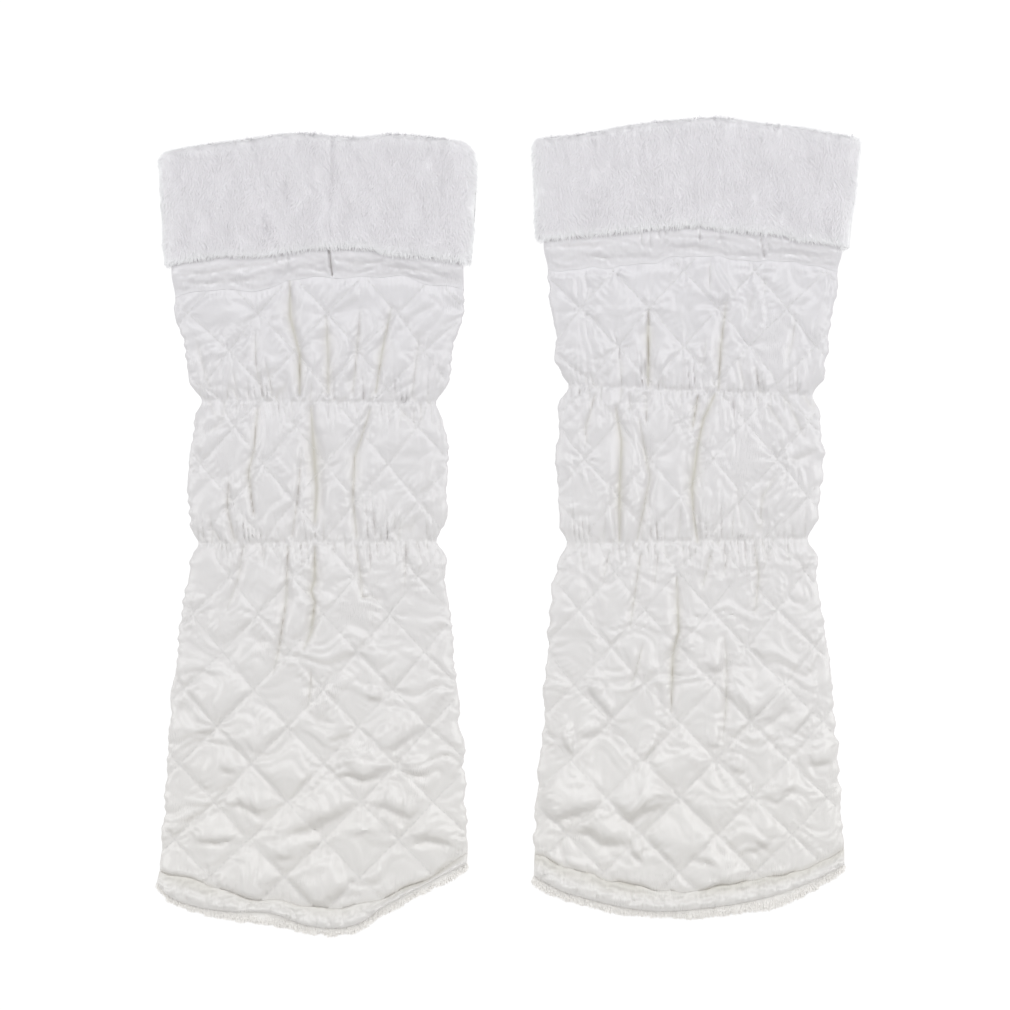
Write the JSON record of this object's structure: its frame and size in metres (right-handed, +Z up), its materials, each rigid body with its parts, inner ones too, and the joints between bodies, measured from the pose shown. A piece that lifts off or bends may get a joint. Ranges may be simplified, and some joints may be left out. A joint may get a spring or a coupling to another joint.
{
  "type": "pair of leg warmers",
  "caption": "Pair of quilted white satin leg warmers with turned-down plush cuffs and elastic gathers at the calf, laid flat side by side.",
  "frame": {"origin": "centre of the pair's outline, on the surface that the pair lies on", "axes": "+X across the pair from the left leg warmer to the right one as seen from above, +Y along the legs from the hems to the cuffs, +Z up from the surface"},
  "size_m": [0.37, 0.4292, 0.0202],
  "materials": {
    "quilted_satin": "warm white shiny satin, quilted in diamonds over wadding",
    "plain_satin": "warm white shiny satin, plain, softly wrinkled",
    "plush": "cool white short plush with a soft mottled nap",
    "lining_plush": "white short plush, fuzzy where it shows below the hem"
  },
  "bodies": {
    "root": {"left_front_shell": "quilted_satin", "left_back_shell": "quilted_satin", "left_front_band": "plain_satin", "left_back_band": "plain_satin", "left_front_cuff": "plush", "left_back_cuff": "plush", "left_front_hem": "quilted_satin", "left_back_hem": "quilted_satin", "left_front_lining": "lining_plush", "left_back_lining": "lining_plush", "right_front_shell": "quilted_satin", "right_back_shell": "quilted_satin", "right_front_band": "plain_satin", "right_back_band": "plain_satin", "right_front_cuff": "plush", "right_back_cuff": "plush", "right_front_hem": "quilted_satin", "right_back_hem": "quilted_satin", "right_front_lining": "lining_plush", "right_back_lining": "lining_plush"}
  },
  "joints": []
}
